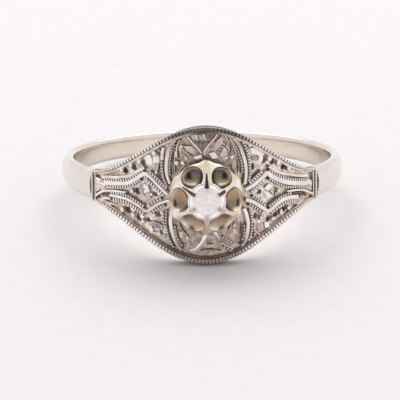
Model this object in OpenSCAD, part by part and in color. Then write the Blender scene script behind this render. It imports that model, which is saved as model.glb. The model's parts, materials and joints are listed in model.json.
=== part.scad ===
// A dress ring lying on its side: a plain band, a pierced eye-shaped head bent round the finger,
// a fluted crown with six claws, and one round diamond. Millimetres, +Z up, the head towards -Y.

/* [Finger hole] */
// Radius of the finger hole
finger_r = 8.5; // [8:0.25:9.5]

/* [Shank] */
// Thickness of the band
shank_t = 0.85; // [0.7:0.05:1]
// Width of the band at the back
shank_back_w = 1.45; // [1.3:0.05:1.7]
// Width of the band where it meets the head
shank_seam_w = 2; // [1.95:0.05:2.1]
// Radius of the arc that domes the band's outer face
shank_dome_r = 1.4; // [1.3:0.1:2]

/* [Head] */
// Angle from the middle of the head to each seam
seam_angle = 53; // [52.9:0.1:53.1]
// Half the head's height in the middle
head_half = 4.45; // [4.3:0.05:4.6]
// Angle over which the outline swings from its middle height down to its lowest
bell_angle = 54; // [53:1:56]
// Thickness of the pierced plate
plate_t = 0.6; // [0.5:0.05:0.7]
// Height of the border above the finger hole
rim_t = 1.05; // [0.95:0.05:1.1]
// Width of the border
border_w = 0.4; // [0.35:0.05:0.45]
// Half the width of a ribbon with its two beaded edges
ribbon_half = 0.25; // [0.2:0.01:0.27]
// Half the width of a ribbon's polished face
ribbon_face = 0.13; // [0.08:0.01:0.15]
// Radius of a grain
grain_r = 0.15; // [0.12:0.01:0.16]

/* [Crown] */
// Radius over the six lobes
crown_r = 2.35; // [2.2:0.05:2.4]
// Radius of the collar that passes through the plate
collar_r = 1.35; // [1.25:0.05:1.4]
// Radius of the ball that scoops each flute
flute_r = 0.88; // [0.8:0.02:0.92]
// Half the thickness of a claw
claw_r = 0.11; // [0.09:0.01:0.13]

/* [Diamond] */
// Radius of the girdle
girdle_r = 1.1; // [1.05:0.05:1.15]
// Radius of the table
table_r = 0.72; // [0.6:0.02:0.8]
// Height of the table above the girdle
table_h = 0.3; // [0.25:0.05:0.35]
// Depth of the culet below the girdle
culet_h = 0.8; // [0.7:0.05:0.85]

/* [Hidden] */
$fn = 64;

// Hair gap between pieces
gap = 0.03;

// Radii measured from the middle of the finger
shank_r = finger_r + shank_t;
head_in = finger_r + 0.05;
plate_r = head_in + plate_t;
rim_r = finger_r + rim_t;
seam_half = shank_seam_w / 2;
back_half = shank_back_w / 2;

// Levels of the pattern on the plate, each a little below the border
face_r = rim_r - 0.05;
strip_r = rim_r - 0.1;
edge_r = rim_r - 0.16;
root_r = plate_r - 0.2;

// Lean of the ring as it lies on the lower edges of the head and of the band's back
back_edge_r = shank_r - shank_dome_r + sqrt(shank_dome_r * shank_dome_r - back_half * back_half);
lean = atan((head_half - back_half) / (head_in + back_edge_r));
lift = back_edge_r * sin(lean) + back_half * cos(lean);

// Levels of the crown, the stone and the claws' tips, measured from the middle of the finger
crown_foot = rim_r + gap;
crown_lip = rim_r + 0.3;
girdle_level = rim_r + 1.5;
tip_level = girdle_level + 0.26;
tip_r = girdle_r - 0.12;

// The origin lies under the middle of the whole ring, from the lowest claw to the band's back
front_reach = tip_level * cos(lean) + tip_r * sin(lean) + claw_r;
back_reach = (shank_r - shank_dome_r) * cos(lean) + shank_dome_r;
centre_shift = (front_reach - back_reach) / 2;

// The head stops short of the seam; its pattern is laid on in three zones, each from straight ahead
head_angle = seam_angle - 0.2;
zone_angle = 17.7;
bar_angle = 3.4;

// A quarter of the pattern: each row is [angle from the middle, height]
side_ribbon = [
    [48.7, 0.3], [43, 0.33], [39, 0.36], [35, 0.43], [31, 0.62], [27.5, 0.93], [24, 1.3],
    [21.5, 1.0], [19, 0.7], [16.5, 0.47]];
side_ribbon_end = [[18.5, 0.65], [16.5, 0.47], [13.2, 0.2]];
side_strip = [[41.5, 0.86], [38.5, 0.89], [35, 1.0], [31, 1.22], [28, 1.48], [24.5, 1.8]];
strip_half = 0.09;
hoop_ribbon = [[13.9, 0.6], [15.1, 1.15], [15.6, 1.75], [15.5, 2.35], [14.6, 2.95], [12.1, 3.8]];
chevron_arm = [[6.7, 4.0], [4.9, 3.25], [3.2, 2.6]];
side_grains = [[34.3, 1.31], [29.8, 1.68], [25.6, 2.1], [20.7, 2.68], [19, 1.75]];
side_holes = [[32.2, 1.42], [27.7, 1.82], [23.6, 2.25], [18.9, 2.88], [20, 1.36]];
middle_grains = [[9.6, 2.6]];
middle_holes = [[10.6, 3.2]];
drill_r = 0.15;
crescent = [[36.5, 0.75], [40.5, 0.67], [44.5, 0.62], [46, 0.66], [44.8, 0.73], [41, 0.76]];
hoop_slot = [[11.9, 1.7], [12.9, 2.1], [13.1, 2.6], [12.2, 3.05], [11.7, 2.6]];
chevron_hole = [[-1.3, 3.85], [1.3, 3.85], [0, 3.45]];
lozenge_holes = [[20.6, 0], [28.6, 0]];
lozenge_centre = 24.4;
facet_place = [20.6, 2.14];
facet_half = 0.3;

// Half the head's height at an angle from its middle
function outline(a) = seam_half + (head_half - seam_half) * (1 + cos(180 * a / bell_angle)) / 2;

// A point of the head drawn flat, as seen from straight in front of the angle called middle
function flat(p, middle) = [rim_r * sin(p[0] - middle), p[1]];

// Length round the head and back to an angle
function round_mm(a) = a * PI / 180 * rim_r;
function round_deg(mm) = mm * 180 / PI / rim_r;

// One point of a smooth curve between p1 and p2, with p0 and p3 beside them
function bend(p0, p1, p2, p3, t) =
    0.5 * (2 * p1 + (p2 - p0) * t + (2 * p0 - 5 * p1 + 4 * p2 - p3) * t * t
    + (3 * p1 - p0 - 3 * p2 + p3) * t * t * t);

// A smooth curve through all the points of a path
function smooth(path, steps) = let (last = len(path) - 1) concat(
    [for (i = [0:last - 1], s = [0:steps - 1])
        bend(path[max(i - 1, 0)], path[i], path[i + 1], path[min(i + 2, last)], s / steps)],
    [path[last]]);

// Unit direction across a path at one of its points, in millimetres round and up
function across(path, i) = let (
    p = path[max(i - 1, 0)],
    q = path[min(i + 1, len(path) - 1)],
    d = [round_mm(q[0] - p[0]), q[1] - p[1]],
    n = norm(d)) [-d[1] / n, d[0] / n];

// A path moved sideways by some millimetres
function beside(path, off) = [for (i = [0:len(path) - 1]) let (w = across(path, i))
    [path[i][0] + round_deg(w[0] * off), path[i][1] + w[1] * off]];

function backwards(list) = [for (i = [len(list) - 1:-1:0]) list[i]];

// A point in space at an angle from the head's middle, a height, and a distance from the axis
function on_head(a, h, r) = [r * sin(a), -r * cos(a), h];

// Drawing of a ribbon, seen from the front of a zone
module ribbon_shape(path, half, middle) {
    polygon([for (p = concat(beside(path, half), backwards(beside(path, -half)))) flat(p, middle)]);
}

// Solid with the head's outline less a margin; its walls all point at the axis of the finger
module eye(half_angle, margin) {
    steps = 24;
    near = head_in - 0.5;
    far = rim_r + 0.5;
    angles = [for (i = [0:steps]) half_angle * (2 * i / steps - 1)];
    corners = [for (a = angles) let (h = outline(a) - margin) each [
        on_head(a, -h, near), on_head(a, -h, far), on_head(a, h, far), on_head(a, h, near)]];
    walls = [for (i = [0:steps - 1], k = [0:3])
        let (p = 4 * i + k, q = 4 * i + (k + 1) % 4) each [[p, q, p + 4], [q, q + 4, p + 4]]];
    polyhedron(corners, concat([[3, 2, 1, 0]], walls, [[for (k = [0:3]) 4 * steps + k]]));
}

module above_and_below() {
    for (under = [0, 1])
        mirror([0, under, 0])
            children();
}

// Part of the bent head round one angle, between two radii; the children are its drawing
module zone(middle, half, r_in, r_out) {
    tall = 2 * head_half + 2;
    intersection() {
        rotate([0, 0, middle - half - 90])
            rotate_extrude(angle = 2 * half)
                translate([r_in, -tall / 2])
                    square([r_out - r_in, tall]);
        rotate([0, 0, middle])
            rotate([90, 0, 0])
                linear_extrude(r_out + 1)
                    children();
    }
}

// Holes drilled beside the grains, for one zone
module hole_shapes(holes, middle) {
    for (p = holes)
        translate(flat(p, middle))
            circle(r = drill_r, $fn = 24);
}

module side_pattern() {
    middle = (zone_angle + head_angle) / 2;
    half = (head_angle - zone_angle) / 2;
    zone(middle, half, root_r, edge_r)
        above_and_below()
            ribbon_shape(smooth(side_ribbon, 2), ribbon_half, middle);
    zone(middle, half, root_r, face_r)
        above_and_below()
            ribbon_shape(smooth(side_ribbon, 2), ribbon_face, middle);
    zone(middle, half, root_r, strip_r)
        above_and_below()
            ribbon_shape(smooth(side_strip, 2), strip_half, middle);
    on_plate(side_grains) grain();
    on_plate([facet_place]) facet();
    rotate([0, 0, lozenge_centre])
        translate([0, -plate_r, 0])
            rotate([90, 0, 0])
                facet();
}

module side_holes_through() {
    middle = (zone_angle + head_angle) / 2;
    half = (head_angle - zone_angle) / 2;
    zone(middle, half, head_in - 0.1, rim_r) {
        above_and_below() {
            hole_shapes(side_holes, middle);
            polygon([for (p = crescent) flat(p, middle)]);
        }
        hole_shapes(lozenge_holes, middle);
    }
}

module middle_pattern() {
    zone(0, zone_angle, root_r, edge_r)
        middle_ribbons(ribbon_half);
    zone(0, zone_angle, root_r, face_r)
        middle_ribbons(ribbon_face);
    for (side = [0, 1])
        mirror([side, 0, 0])
            on_plate(middle_grains) grain();
}

module middle_holes_through() {
    zone(0, zone_angle, head_in - 0.1, rim_r) {
        for (side = [0, 1])
            mirror([side, 0, 0])
                above_and_below() {
                    hole_shapes(middle_holes, 0);
                    polygon([for (p = hoop_slot) flat(p, 0)]);
                }
        above_and_below()
            polygon([for (p = chevron_hole) flat(p, 0)]);
    }
}

module middle_ribbons(half) {
    for (side = [0, 1])
        mirror([side, 0, 0])
            above_and_below() {
                ribbon_shape(smooth(hoop_ribbon, 3), half, 0);
                ribbon_shape(chevron_arm, half, 0);
                ribbon_shape(side_ribbon_end, half, 0);
            }
}

// Puts a copy of its child on the plate at each place, and at its mirror place below
module on_plate(places) {
    for (p = places, up = [-1, 1])
        rotate([0, 0, p[0]])
            translate([0, -plate_r, up * p[1]])
                rotate([90, 0, 0])
                    children();
}

module grain() {
    sphere(r = grain_r, $fn = 24);
}

// Bright-cut square on its corner, a low pyramid
module facet() {
    translate([0, 0, -0.1]) cylinder(r1 = facet_half, r2 = facet_half / 3, h = 0.28, $fn = 4);
}

// Plate with its raised border and the two bars at the seams, pierced right through
module plate() {
    difference() {
        intersection() {
            cylinder(r = rim_r, h = 2 * head_half + 1, center = true, $fn = 128);
            eye(head_angle, 0);
        }
        cylinder(r = head_in, h = 2 * head_half + 2, center = true, $fn = 128);
        // Sunk field
        difference() {
            eye(head_angle - bar_angle, border_w);
            cylinder(r = plate_r, h = 2 * head_half + 2, center = true, $fn = 128);
        }
        middle_holes_through();
        for (side = [0, 1])
            mirror([side, 0, 0])
                side_holes_through();
    }
}

module pierced_head() {
    color("silver")
        resting()
            difference() {
                union() {
                    plate();
                    middle_pattern();
                    for (side = [0, 1])
                        mirror([side, 0, 0])
                            side_pattern();
                }
                // Hole for the crown's collar
                rotate([90, 0, 0])
                    cylinder(r = collar_r + gap, h = 2 * rim_r);
            }
}

// Lays the ring down on its side, with the middle of its footprint over the origin
module resting() {
    translate([0, centre_shift, lift])
        rotate([-lean, 0, 0])
            children();
}

// Half the band's width at a distance behind the middle of the finger
function band_half(y) = back_half
    + (seam_half - back_half) * (shank_r - y) / (shank_r + finger_r * cos(seam_angle));

module shank() {
    reach = 2 * shank_r;
    color("linen")
        resting()
            difference() {
                intersection() {
                    rotate_extrude($fn = 128)
                        intersection() {
                            translate([shank_r - shank_dome_r, 0]) circle(r = shank_dome_r);
                            translate([finger_r, -shank_dome_r]) square([shank_t, 2 * shank_dome_r]);
                        }
                    // Side view of the band, narrow at the back and wide at the seams
                    rotate([90, 0, 90])
                        linear_extrude(2 * reach, center = true)
                            polygon([
                                [-reach, -band_half(-reach)],
                                [reach, -band_half(reach)],
                                [reach, band_half(reach)],
                                [-reach, band_half(-reach)]]);
                }
                // Room for the head
                linear_extrude(4 * seam_half, center = true)
                    polygon([
                        [0, 0],
                        [reach * sin(seam_angle), -reach * cos(seam_angle)],
                        [0, -2 * reach],
                        [-reach * sin(seam_angle), -reach * cos(seam_angle)]]);
            }
}

// Stands on the head, with its own Z pointing away from the finger
module on_crown_axis() {
    resting()
        rotate([90, 0, 0])
            children();
}

module claw(turn) {
    foot_r = crown_r - 0.55;
    foot_level = crown_lip + 0.42;
    rise = atan2(tip_level - foot_level, tip_r - foot_r);
    rotate([0, 0, turn])
        translate([foot_r, 0, foot_level])
            rotate([0, 90 - rise, 0])
                cylinder(r = claw_r, h = norm([tip_r - foot_r, tip_level - foot_level]), $fn = 24);
    rotate([0, 0, turn])
        translate([tip_r, 0, tip_level])
            sphere(r = claw_r, $fn = 24);
}

module claw_crown() {
    lobe_r = 1.0;
    flute_out = crown_r - 0.42;
    color("khaki")
        on_crown_axis()
            difference() {
                union() {
                    intersection() {
                        rotate_extrude()
                            polygon([
                                [0, crown_foot],
                                [crown_r - 0.35, crown_foot],
                                [crown_r, crown_lip],
                                [crown_r - 0.1, crown_lip + 0.2],
                                [girdle_r + 0.12, girdle_level + 0.06],
                                [0, girdle_level + 0.06]]);
                        translate([0, 0, crown_foot - 1])
                            linear_extrude(4)
                                union() {
                                    circle(r = crown_r - 0.3);
                                    for (k = [0:5]) rotate(60 * k) translate([crown_r - lobe_r, 0]) circle(r = lobe_r);
                                }
                    }
                    translate([0, 0, head_in + gap]) cylinder(r = collar_r, h = girdle_level - head_in - gap - 0.2);
                    for (k = [0:5]) claw(60 * k + 30);
                }
                for (k = [0:5])
                    rotate([0, 0, 60 * k])
                        translate([flute_out, 0, crown_lip + flute_r - 0.12])
                            sphere(r = flute_r);
                // Seat of the stone, open to the finger
                translate([0, 0, girdle_level - 0.08]) cylinder(r = girdle_r + gap, h = 0.5);
                translate([0, 0, girdle_level - 0.08 - culet_h])
                    cylinder(r1 = 0.35, r2 = girdle_r + gap, h = culet_h);
                cylinder(r = 0.7, h = girdle_level - 0.6);
            }
}

module diamond() {
    color("white")
        on_crown_axis()
            translate([0, 0, girdle_level])
                hull() {
                    translate([0, 0, table_h - 0.01]) cylinder(r = table_r, h = 0.01, $fn = 8);
                    rotate([0, 0, 11.25]) translate([0, 0, -0.04]) cylinder(r = girdle_r, h = 0.08, $fn = 16);
                    translate([0, 0, -culet_h]) cylinder(r = 0.08, h = 0.01, $fn = 8);
                }
}

shank();
pierced_head();
claw_crown();
diamond();
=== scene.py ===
import json
import math

import bpy
from mathutils import Matrix, Vector


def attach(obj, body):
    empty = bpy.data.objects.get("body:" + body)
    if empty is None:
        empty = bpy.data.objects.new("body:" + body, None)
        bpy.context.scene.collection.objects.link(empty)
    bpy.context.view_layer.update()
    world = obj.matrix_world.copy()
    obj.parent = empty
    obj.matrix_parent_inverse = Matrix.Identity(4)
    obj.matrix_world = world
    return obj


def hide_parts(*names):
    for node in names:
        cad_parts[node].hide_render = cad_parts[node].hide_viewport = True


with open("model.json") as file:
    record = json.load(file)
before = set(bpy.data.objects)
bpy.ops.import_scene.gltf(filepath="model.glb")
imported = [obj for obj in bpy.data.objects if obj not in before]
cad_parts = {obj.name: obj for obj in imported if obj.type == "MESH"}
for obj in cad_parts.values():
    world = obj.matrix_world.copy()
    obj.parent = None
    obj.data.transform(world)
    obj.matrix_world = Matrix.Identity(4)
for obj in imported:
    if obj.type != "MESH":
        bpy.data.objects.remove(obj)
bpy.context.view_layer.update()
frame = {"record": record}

# Sizes in millimetres. Levels are distances from the axis of the finger.
FINGER_R = 8.5
BAND_R = 9.35
BAND_DOME = 1.4
BACK_HALF = 0.725
SEAM_HALF = 1.0
SEAM_ANGLE = 53
PLATE_IN = 8.55
PLATE_R = 9.15
RIM_R = 9.55
HEAD_HALF = 4.45
HEAD_ANGLE = 52.8
BELL_ANGLE = 54
SEAM_X = math.radians(HEAD_ANGLE) * PLATE_R
CROWN_R = 2.35
COLLAR_R = 1.35
GIRDLE_R = 1.1
GIRDLE_LEVEL = 11.05
TABLE_H = 0.3
CULET_H = 0.8
# The radius of the hole through the collar and the cup of the crown
TUBE_R = 0.72
# Levels on the head: the foot of the ribbons, the floor under the fine cuts, and the tops
ORNAMENT_FOOT = 9.05
CUT_FLOOR = 9.37
RIDGE_TOP = 9.42
STRIP_TOP = 9.44
TOOTH_TOP = 9.45
FACE_TOP = 9.5
LEAF_TOP = 9.52
# The border narrows over this length before each seam
FADE_LENGTH = 2.2
# The outer side of the channel beside each seam, and the foot of the bars there
SEAM_CHANNEL_X = 8.425
SEAM_FOOT = 8.6
# The sloping flank of the crown, as (distance from the crown's middle, level), and the way it faces
FLANK_MID = (1.74, 10.57)
FLANK_WAY = (0.72, 0.69)

# The ring is made as it is worn, in millimetres, and then laid down on its side
bore = frame["record"]["mounts"][0]
LEAN = math.atan2(bore["axis"][1], bore["axis"][2])
LAID_DOWN = (
    Matrix.Translation(bore["pos_m"])
    @ Matrix.Rotation(-LEAN, 4, "X")
    @ Matrix.Scale(0.001, 4)
)


# Handling pieces

def only(piece):
    """Selects one piece alone."""
    bpy.ops.object.select_all(action="DESELECT")
    piece.select_set(True)
    bpy.context.view_layer.objects.active = piece


def newly_made(name):
    """Names what an operator has just made."""
    piece = bpy.context.active_object
    piece.name = name
    piece.data.name = name
    return piece


def settle(piece):
    """Applies the object's own place, turn and size to its mesh."""
    only(piece)
    bpy.ops.object.transform_apply(location=True, rotation=True, scale=True)
    return piece


def joined(pieces, name):
    only(pieces[0])
    for piece in pieces:
        piece.select_set(True)
    if len(pieces) > 1:
        bpy.ops.object.join()
    return newly_made(name)


def copy_of(piece, place):
    """A copy with its own mesh, moved by a matrix."""
    twin = piece.copy()
    twin.data = piece.data.copy()
    twin.data.transform(place)
    bpy.context.scene.collection.objects.link(twin)
    return twin


def discard(piece):
    bpy.data.objects.remove(piece)


def edit(piece):
    only(piece)
    bpy.ops.object.mode_set(mode="EDIT")
    bpy.ops.mesh.select_all(action="SELECT")


def edit_done():
    bpy.ops.object.mode_set(mode="OBJECT")


def clean_mesh(piece):
    edit(piece)
    bpy.ops.mesh.remove_doubles(threshold=0.0005)
    bpy.ops.mesh.normals_make_consistent(inside=False)
    edit_done()


def applied(piece, kind, **settings):
    """Adds a modifier and applies it."""
    only(piece)
    tool = piece.modifiers.new(kind.title(), kind)
    for key, value in settings.items():
        setattr(tool, key, value)
    bpy.ops.object.modifier_apply(modifier=tool.name)


def as_mesh(curve, name):
    """Turns a curve into a mesh."""
    only(curve)
    bpy.ops.object.convert(target="MESH")
    return newly_made(name)


def finish_piece(piece, material, node, smooth):
    """Lays a piece down, smooths its edges up to an angle, paints it and hangs it on the part."""
    piece.data.transform(LAID_DOWN)
    only(piece)
    bpy.ops.object.shade_smooth_by_angle(angle=math.radians(smooth))
    piece.data.materials.clear()
    piece.data.materials.append(material)
    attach(piece, "root")
    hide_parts(node)


# The flat sheet, before it is bent round the finger

def outline(angle):
    """Half the height of the head, this many degrees round from its middle: a cosine wave."""
    swing = (1 + math.cos(math.pi * angle / BELL_ANGLE)) / 2
    return SEAM_HALF + (HEAD_HALF - SEAM_HALF) * swing


def flat(angle, height):
    """A place on the flat sheet, this many degrees round the finger."""
    return Vector((math.radians(angle) * PLATE_R, height))


def angles_between(first, last, count):
    return [first + (last - first) * i / count for i in range(count + 1)]


def sheet_path(places):
    """A smooth curve through places of the flat sheet."""
    steps = 6
    points = [Vector(place) for place in places]
    ends = [points[0]] + points + [points[-1]]
    curve = []
    for a, b, c, d in zip(ends, ends[1:], ends[2:], ends[3:]):
        for i in range(steps):
            t = i / steps
            curve.append(0.5 * (2 * b + (c - a) * t + (2 * a - 5 * b + 4 * c - d) * t * t
                                + (3 * b - a - 3 * c + d) * t ** 3))
    return curve + [points[-1]]


def paced(line, pitch):
    """Evenly spaced places along a path, each with its heading."""
    length = sum((b - a).length for a, b in zip(line, line[1:]))
    count = max(int(length / pitch), 1)
    pitch = length / count
    places, left = [], pitch / 2
    for a, b in zip(line, line[1:]):
        run = (b - a).length
        while run > 0 and left <= run:
            places.append((a + (b - a) * left / run, math.atan2(b.y - a.y, b.x - a.x)))
            left += pitch
        left -= run
    return places


def stand_up(piece):
    """Turns a drawing on the ground to the upright sheet, which faces -Y."""
    piece.rotation_euler = (math.pi / 2, 0, 0)
    return settle(piece)


def drawing(name, lines, closed):
    """A flat curve, of one straight-sided stroke for each line of places."""
    curve = bpy.data.curves.new(name, "CURVE")
    curve.dimensions = "2D"
    curve.fill_mode = "NONE"
    for line in lines:
        spline = curve.splines.new("POLY")
        spline.points.add(len(line) - 1)
        for point, (x, y) in zip(spline.points, line):
            point.co = (x, y, 0, 1)
        spline.use_cyclic_u = closed
    piece = bpy.data.objects.new(name, curve)
    bpy.context.scene.collection.objects.link(piece)
    return piece


def sawn(name, lines, half_thick, rounding):
    """Sheet metal sawn along closed lines, its edges rounded a little."""
    sheet = drawing(name, lines, True)
    sheet.data.fill_mode = "BOTH"
    sheet.data.extrude = half_thick - rounding
    sheet.data.bevel_depth = rounding
    return as_mesh(sheet, name)


def wire(name, line, section, swell=None):
    """Draws a section, of (to the right, level) places, along a path. The swell scales it along the way."""
    die = drawing(name + " die", [[(across, level - PLATE_R) for across, level in section]], True)
    rail = drawing(name, [line], False)
    if swell:
        for i, point in enumerate(rail.data.splines[0].points):
            point.radius = swell(i / (len(line) - 1))
    rail.data.bevel_mode = "OBJECT"
    rail.data.bevel_object = die
    rail.data.use_fill_caps = True
    rail = as_mesh(rail, name)
    discard(die)
    return stand_up(rail)


def cut_across(piece, pitch):
    """Cuts lines across a flat piece, so that it bends evenly."""
    along = [v.co.x for v in piece.data.vertices]
    count = int((max(along) - min(along)) / pitch)
    edit(piece)
    for i in range(1, count):
        bpy.ops.mesh.select_all(action="SELECT")
        x = min(along) + (max(along) - min(along)) * i / count
        bpy.ops.mesh.bisect(plane_co=(x, 0, 0), plane_no=(1, 0, 0), threshold=0.0001)
    edit_done()


def bend_round_finger(piece):
    along = [v.co.x for v in piece.data.vertices]
    applied(piece, "SIMPLE_DEFORM", deform_method="BEND", deform_axis="Z",
            angle=(max(along) - min(along)) / PLATE_R)
    piece.data.transform(Matrix.Translation((0, -PLATE_R, 0)))


def put_on_head(shapes, name, material, smooth=45, clean=True):
    """Joins shapes of the flat sheet into one piece of the head, bends it and finishes it."""
    piece = joined(shapes, name)
    if clean:
        clean_mesh(piece)
    bend_round_finger(piece)
    finish_piece(piece, material, "pierced_head", smooth=smooth)


def on_sheet(place, level, heading=0.0, size=(1, 1, 1)):
    """Matrix that puts a shape, modelled with its top towards +Z, on the upright sheet."""
    return (
        Matrix.Translation((place.x, PLATE_R - level, place.y))
        @ Matrix.Rotation(math.pi / 2, 4, "X")
        @ Matrix.Rotation(heading, 4, "Z")
        @ Matrix.Diagonal((*size, 1))
    )


# Materials

def socket(tree, kind, name, way, value=None):
    made = tree.interface.new_socket(name=name, in_out=way, socket_type="NodeSocket" + kind)
    if value is not None:
        made.default_value = value


def link(tree, source, target):
    tree.links.new(source, target)


def new_node(tree, kind, values=None, **settings):
    """A node with its settings made and the named inputs set."""
    made = tree.nodes.new(kind)
    for key, value in settings.items():
        setattr(made, key, value)
    for key, value in (values or {}).items():
        made.inputs[key].default_value = value
    return made


def new_material(name, values):
    """A material, its node tree and its shader, with the shader's named inputs set."""
    material = bpy.data.materials.new(name)
    material.use_nodes = True
    shader = material.node_tree.nodes["Principled BSDF"]
    for key, value in values.items():
        shader.inputs[key].default_value = value
    return material, material.node_tree, shader


def ramp(tree, value, nought, one):
    """0 where the value is nought or beyond, 1 where it is one or beyond."""
    spread = new_node(tree, "ShaderNodeMapRange", {"From Min": nought, "From Max": one})
    link(tree, value, spread.inputs["Value"])
    return spread.outputs["Result"]


def arithmetic(tree, operation, *values):
    made = new_node(tree, "ShaderNodeMath", operation=operation)
    for value, target in zip(values, made.inputs):
        link(tree, value, target)
    return made.outputs[0]


def make_places_group():
    """Where a spot lies on the ring: shares from 0 to 1, and its height and place in millimetres."""
    tree = bpy.data.node_groups.new("Places on the ring", "ShaderNodeTree")
    for name, level in (("High level", 9.5), ("Low level", 9.15), ("Back level", 8.6)):
        socket(tree, "Float", name, "INPUT", level)
    for name in ("Depth", "Near the crown", "Near the edge", "Upper half", "Top of the head", "In a bowl",
                 "Height", "On the back"):
        socket(tree, "Float", name, "OUTPUT")
    socket(tree, "Vector", "Ring place", "OUTPUT")
    inputs = new_node(tree, "NodeGroupInput")
    outputs = new_node(tree, "NodeGroupOutput")
    place = new_node(tree, "ShaderNodeTexCoord")
    upright = new_node(tree, "ShaderNodeMapping", {"Location": bore["pos_m"], "Rotation": (-LEAN, 0, 0),
                                                   "Scale": (0.001, 0.001, 0.001)}, vector_type="TEXTURE")
    link(tree, place.outputs["Object"], upright.inputs["Vector"])
    link(tree, upright.outputs[0], outputs.inputs["Ring place"])
    split = new_node(tree, "ShaderNodeSeparateXYZ")
    link(tree, upright.outputs[0], split.inputs[0])
    right, back, up = split.outputs

    def distance(first, second):
        pair = new_node(tree, "ShaderNodeCombineXYZ")
        link(tree, first, pair.inputs[0])
        link(tree, second, pair.inputs[1])
        length = new_node(tree, "ShaderNodeVectorMath", operation="LENGTH")
        link(tree, pair.outputs[0], length.inputs[0])
        return length.outputs["Value"]

    level = distance(right, back)
    depth = new_node(tree, "ShaderNodeMapRange")
    link(tree, level, depth.inputs["Value"])
    link(tree, inputs.outputs["High level"], depth.inputs["From Min"])
    link(tree, inputs.outputs["Low level"], depth.inputs["From Max"])
    off_back = arithmetic(tree, "GREATER_THAN", level, inputs.outputs["Back level"])
    on_back = arithmetic(tree, "LESS_THAN", level, inputs.outputs["Back level"])
    # The materials use these shares for painted shade and painted reflections: in recesses, round the crown,
    # at the top of the head, on the upper half and in the bowls.
    crown_far, crown_near = 3.4, 1.9
    edge_far, edge_near = 2.2, 3.2
    halves_meet = 0.6
    bowl_edge, bowl_deep = 0.03, 0.24
    near_crown = ramp(tree, arithmetic(tree, "ABSOLUTE", right), crown_far, crown_near)
    near_edge = ramp(tree, arithmetic(tree, "ABSOLUTE", up), edge_far, edge_near)
    upper_half = ramp(tree, up, -halves_meet, halves_meet)
    flank = new_node(tree, "ShaderNodeCombineXYZ")
    link(tree, distance(right, up), flank.inputs[0])
    link(tree, back, flank.inputs[1])
    outwards = new_node(tree, "ShaderNodeVectorMath", {1: (FLANK_WAY[0], -FLANK_WAY[1], 0)},
                        operation="DOT_PRODUCT")
    link(tree, flank.outputs[0], outwards.inputs[0])
    surface = FLANK_MID[0] * FLANK_WAY[0] + FLANK_MID[1] * FLANK_WAY[1]
    for name, value in (
            ("Depth", arithmetic(tree, "MULTIPLY", depth.outputs["Result"], off_back)),
            ("Near the crown", near_crown),
            ("Near the edge", near_edge),
            ("Upper half", upper_half),
            ("Top of the head", arithmetic(tree, "MULTIPLY", near_crown, upper_half)),
            ("In a bowl", ramp(tree, outwards.outputs["Value"], surface - bowl_edge, surface - bowl_deep)),
            ("Height", up),
            ("On the back", on_back)):
        link(tree, value, outputs.inputs[name])
    return tree


def make_polish_group():
    """Fine rubbing marks and slight clouding of a polished metal."""
    tree = bpy.data.node_groups.new("Rubbed polish", "ShaderNodeTree")
    for kind, name, value in (("Vector", "Place", None), ("Color", "Clean", None), ("Color", "Clouded", None),
                              ("Float", "Smooth", 0.12), ("Float", "Rough", 0.3),
                              ("Float", "Patches per mm", 1.3)):
        socket(tree, kind, name, "INPUT", value)
    for kind, name in (("Color", "Colour"), ("Float", "Roughness"), ("Float", "Height")):
        socket(tree, kind, name, "OUTPUT")
    inputs = new_node(tree, "NodeGroupInput")
    outputs = new_node(tree, "NodeGroupOutput")
    clear, cloudy = 0.38, 0.6
    clouds = new_node(tree, "ShaderNodeTexNoise", {"Detail": 4})
    marks = new_node(tree, "ShaderNodeTexNoise", {"Scale": 22, "Detail": 3})
    colour = new_node(tree, "ShaderNodeMix", data_type="RGBA")
    rough = new_node(tree, "ShaderNodeMapRange", {"From Min": 0.35, "From Max": 0.65})
    for texture in (clouds, marks):
        link(tree, inputs.outputs["Place"], texture.inputs["Vector"])
    link(tree, inputs.outputs["Patches per mm"], clouds.inputs["Scale"])
    link(tree, ramp(tree, clouds.outputs["Fac"], clear, cloudy), colour.inputs["Factor"])
    link(tree, inputs.outputs["Clean"], colour.inputs["A"])
    link(tree, inputs.outputs["Clouded"], colour.inputs["B"])
    link(tree, marks.outputs["Fac"], rough.inputs["Value"])
    link(tree, inputs.outputs["Smooth"], rough.inputs["To Min"])
    link(tree, inputs.outputs["Rough"], rough.inputs["To Max"])
    link(tree, colour.outputs["Result"], outputs.inputs["Colour"])
    link(tree, rough.outputs["Result"], outputs.inputs["Roughness"])
    link(tree, marks.outputs["Fac"], outputs.inputs["Height"])
    return tree


PLACES = make_places_group()
POLISH = make_polish_group()
# The colour of the metal that faces the finger, and how far up and down the crown the tones of its bowls run
INSIDE_COLOUR = (0.80, 0.74, 0.69)
TONES_TO = 2.5


def tinted(tree, colour, share, tint=(1, 1, 1), blend="MULTIPLY"):
    """Lays a tint over a colour, as far as the share says."""
    mix = new_node(tree, "ShaderNodeMix", {"B": (*tint, 1)}, data_type="RGBA", blend_type=blend)
    link(tree, share, mix.inputs["Factor"])
    link(tree, colour, mix.inputs["A"])
    return mix


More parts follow.
